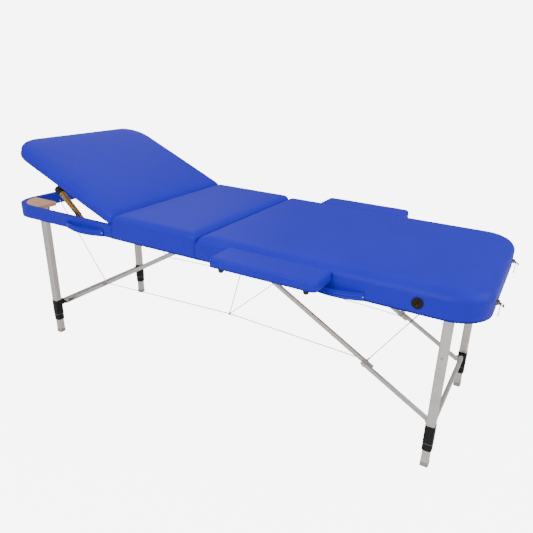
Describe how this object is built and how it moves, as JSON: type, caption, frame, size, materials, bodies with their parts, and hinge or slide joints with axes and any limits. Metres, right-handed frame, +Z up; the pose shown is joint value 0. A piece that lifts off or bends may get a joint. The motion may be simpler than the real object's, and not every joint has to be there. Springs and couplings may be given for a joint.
{
  "type": "folding treatment table",
  "caption": "Portable folding treatment table with a tilting backrest, pull-out armrests, telescopic aluminium legs, knee braces and wire ropes, under blue vinyl cushions.",
  "frame": {"origin": "on the floor under the middle of the whole table, with its latches and keepers", "axes": "+X points to the foot end, +Y to the side without the carry straps, +Z up"},
  "size_m": [1.8918, 0.9, 0.8388],
  "materials": {
    "blue_vinyl": "soft blue upholstery vinyl over foam",
    "wrapped_wood": "wooden rails wrapped in the blue vinyl, with pale plywood on top",
    "plywood": "sanded birch plywood",
    "aluminium": "satin anodised",
    "black_plastic": "matt black moulding",
    "black_rubber": "matt black",
    "steel": "bright zinc-plated",
    "brass_plate": "yellow zinc-plated, satin",
    "wire_rope": "plastic-coated wire rope"
  },
  "bodies": {
    "foot_half": {"foot_frame": "wrapped_wood", "foot_pad": "blue_vinyl", "foot_leg_brackets": "steel", "foot_brace_clevises": "steel", "foot_handle": "blue_vinyl", "foot_handle_screws": "steel", "side_boss": "black_plastic", "latch_plates": "steel", "hinge_leaves_foot": "steel", "armrest_bushings": "black_plastic", "foot_ropes": "wire_rope"},
    "seam_hinge_pins": {"hinge_pins": "steel"},
    "head_half": {"head_frame": "wrapped_wood", "middle_pad": "blue_vinyl", "head_corner_blocks": "plywood", "head_leg_brackets": "steel", "head_brace_clevises": "steel", "head_handle": "blue_vinyl", "head_handle_screws": "steel", "hinge_leaves_head": "steel", "latch_keepers": "steel", "head_ropes": "wire_rope", "backrest_leaves_fixed": "steel"},
    "backrest_pins": {"backrest_hinge_pins": "steel"},
    "backrest": {"backrest_board": "plywood", "backrest_pad": "blue_vinyl", "backrest_leaves_moving": "steel", "stay_brackets": "black_plastic"},
    "stay_pins": {"stay_pivots": "steel"},
    "stay_channel_pair": {"stay_channels": "brass_plate"},
    "stay_slider_pair": {"stay_sliders": "black_plastic"},
    "stay_rod_pair": {"stay_rods": "brass_plate"},
    "foot_legs": {"foot_leg_tubes": "aluminium", "foot_tees": "black_plastic"},
    "head_legs": {"head_leg_tubes": "aluminium", "head_tees": "black_plastic"},
    "foot_upper_brace_pair": {"foot_upper_braces": "aluminium"},
    "head_upper_brace_pair": {"head_upper_braces": "aluminium"},
    "foot_lower_brace_pair": {"foot_lower_braces": "aluminium"},
    "head_lower_brace_pair": {"head_lower_braces": "aluminium"},
    "armrest_front": {"armrest_front_pad": "blue_vinyl", "armrest_front_bars": "steel"},
    "armrest_rear": {"armrest_rear_pad": "blue_vinyl", "armrest_rear_bars": "steel"},
    "lever_front": {"latch_lever_front": "steel"},
    "lever_rear": {"latch_lever_rear": "steel"},
    "claw_front": {"latch_claw_front": "steel"},
    "claw_rear": {"latch_claw_rear": "steel"},
    "leg_end_foot_front": {"inner_leg_foot_front": "aluminium", "foot_cap_foot_front": "black_rubber"},
    "button_foot_front": {"leg_button_foot_front": "steel"},
    "leg_end_foot_rear": {"inner_leg_foot_rear": "aluminium", "foot_cap_foot_rear": "black_rubber"},
    "button_foot_rear": {"leg_button_foot_rear": "steel"},
    "leg_end_head_front": {"inner_leg_head_front": "aluminium", "foot_cap_head_front": "black_rubber"},
    "button_head_front": {"leg_button_head_front": "steel"},
    "leg_end_head_rear": {"inner_leg_head_rear": "aluminium", "foot_cap_head_rear": "black_rubber"},
    "button_head_rear": {"leg_button_head_rear": "steel"}
  },
  "joints": [
    {"name": "fold_a", "type": "hinge", "parent": "foot_half", "child": "seam_hinge_pins", "pos_m": [-0.00793, 0, 0.5415], "axis": [0, -1, 0], "range_deg": [0, 90], "deforming": ["foot_ropes", "head_ropes"]},
    {"name": "fold_b", "type": "hinge", "parent": "seam_hinge_pins", "child": "head_half", "pos_m": [-0.00793, 0, 0.5415], "axis": [0, -1, 0], "range_deg": [0, 90]},
    {"name": "foot_legs_fold", "type": "hinge", "parent": "foot_half", "child": "foot_legs", "pos_m": [0.81707, 0, 0.562], "axis": [0, 1, 0], "range_deg": [0, 90]},
    {"name": "foot_upper_brace_swing", "type": "hinge", "parent": "foot_half", "child": "foot_upper_brace_pair", "pos_m": [0.03207, 0, 0.579], "axis": [0, -1, 0], "range_deg": [0, 29.87]},
    {"name": "foot_lower_brace_swing", "type": "hinge", "parent": "foot_legs", "child": "foot_lower_brace_pair", "pos_m": [0.80007, 0, 0.138], "axis": [0, 1, 0], "range_deg": [0, 60.14]},
    {"name": "head_legs_fold", "type": "hinge", "parent": "head_half", "child": "head_legs", "pos_m": [-0.83293, 0, 0.562], "axis": [0, -1, 0], "range_deg": [0, 90]},
    {"name": "head_upper_brace_swing", "type": "hinge", "parent": "head_half", "child": "head_upper_brace_pair", "pos_m": [-0.04793, 0, 0.579], "axis": [0, 1, 0], "range_deg": [0, 29.87]},
    {"name": "head_lower_brace_swing", "type": "hinge", "parent": "head_legs", "child": "head_lower_brace_pair", "pos_m": [-0.81593, 0, 0.138], "axis": [0, -1, 0], "range_deg": [0, 60.14]},
    {"name": "leg_length_foot_front", "type": "slide", "parent": "foot_legs", "child": "leg_end_foot_front", "axis": [0, 0, -1], "range_m": [-0.03, 0.15]},
    {"name": "button_press_foot_front", "type": "slide", "parent": "leg_end_foot_front", "child": "button_foot_front", "axis": [0, 1, 0], "range_m": [0, 0.0045], "stiffness_N_per_m": 500, "springref_m": -0.003},
    {"name": "leg_length_foot_rear", "type": "slide", "parent": "foot_legs", "child": "leg_end_foot_rear", "axis": [0, 0, -1], "range_m": [-0.03, 0.15]},
    {"name": "button_press_foot_rear", "type": "slide", "parent": "leg_end_foot_rear", "child": "button_foot_rear", "axis": [0, -1, 0], "range_m": [0, 0.0045], "stiffness_N_per_m": 500, "springref_m": -0.003},
    {"name": "leg_length_head_front", "type": "slide", "parent": "head_legs", "child": "leg_end_head_front", "axis": [0, 0, -1], "range_m": [-0.03, 0.15]},
    {"name": "button_press_head_front", "type": "slide", "parent": "leg_end_head_front", "child": "button_head_front", "axis": [0, 1, 0], "range_m": [0, 0.0045], "stiffness_N_per_m": 500, "springref_m": -0.003},
    {"name": "leg_length_head_rear", "type": "slide", "parent": "head_legs", "child": "leg_end_head_rear", "axis": [0, 0, -1], "range_m": [-0.03, 0.15]},
    {"name": "button_press_head_rear", "type": "slide", "parent": "leg_end_head_rear", "child": "button_head_rear", "axis": [0, -1, 0], "range_m": [0, 0.0045], "stiffness_N_per_m": 500, "springref_m": -0.003},
    {"name": "backrest_lower", "type": "hinge", "parent": "head_half", "child": "backrest_pins", "pos_m": [-0.38293, 0, 0.596], "axis": [0, 1, 0], "range_deg": [-23, 0]},
    {"name": "backrest_raise", "type": "hinge", "parent": "backrest_pins", "child": "backrest", "pos_m": [-0.38293, 0, 0.596], "axis": [0, 1, 0], "range_deg": [0, 37]},
    {"name": "stay_pin_swing", "type": "hinge", "parent": "head_half", "child": "stay_pins", "pos_m": [-0.56393, 0, 0.571], "axis": [0, 1, 0], "range_deg": [-41.09, 0]},
    {"name": "stay_swing", "type": "hinge", "parent": "stay_pins", "child": "stay_channel_pair", "pos_m": [-0.56393, 0, 0.571], "axis": [0, 1, 0], "range_deg": [0, 44.43]},
    {"name": "stay_catch_slide", "type": "slide", "parent": "stay_channel_pair", "child": "stay_slider_pair", "axis": [-0.743, 0, 0.6693], "range_m": [-0.03617, 0]},
    {"name": "stay_rod_slide", "type": "slide", "parent": "stay_slider_pair", "child": "stay_rod_pair", "axis": [-0.743, 0, 0.6693], "range_m": [0, 0.11059]},
    {"name": "armrest_front_pull", "type": "slide", "parent": "foot_half", "child": "armrest_front", "axis": [0, -1, 0], "range_m": [0, 0.09]},
    {"name": "armrest_rear_pull", "type": "slide", "parent": "foot_half", "child": "armrest_rear", "axis": [0, 1, 0], "range_m": [0, 0.09]},
    {"name": "latch_lever_front_lift", "type": "hinge", "parent": "foot_half", "child": "lever_front", "pos_m": [0.92857, -0.19, 0.573], "axis": [0, -1, 0], "range_deg": [0, 70]},
    {"name": "latch_claw_front_swing", "type": "hinge", "parent": "lever_front", "child": "claw_front", "pos_m": [0.93491, -0.19, 0.57004], "axis": [0, -1, 0], "range_deg": [0, 40]},
    {"name": "latch_lever_rear_lift", "type": "hinge", "parent": "foot_half", "child": "lever_rear", "pos_m": [0.92857, 0.19, 0.573], "axis": [0, -1, 0], "range_deg": [0, 70]},
    {"name": "latch_claw_rear_swing", "type": "hinge", "parent": "lever_rear", "child": "claw_rear", "pos_m": [0.93491, 0.19, 0.57004], "axis": [0, -1, 0], "range_deg": [0, 40]}
  ],
  "couplings": [
    {"joint": "foot_legs_fold", "follows": "fold_a", "ratio": 1},
    {"joint": "foot_upper_brace_swing", "follows": "fold_a", "ratio": 0.33184},
    {"joint": "foot_lower_brace_swing", "follows": "fold_a", "ratio": 0.66816},
    {"joint": "head_legs_fold", "follows": "fold_a", "ratio": 1},
    {"joint": "head_upper_brace_swing", "follows": "fold_a", "ratio": 0.33184},
    {"joint": "head_lower_brace_swing", "follows": "fold_a", "ratio": 0.66816},
    {"joint": "stay_pin_swing", "follows": "backrest_lower", "ratio": 1.7861},
    {"joint": "stay_swing", "follows": "backrest_raise", "ratio": 1.2006},
    {"joint": "stay_catch_slide", "follows": "backrest_lower", "m_per_rad": 0.090045},
    {"joint": "stay_rod_slide", "follows": "backrest_raise", "m_per_rad": 0.17122}
  ]
}
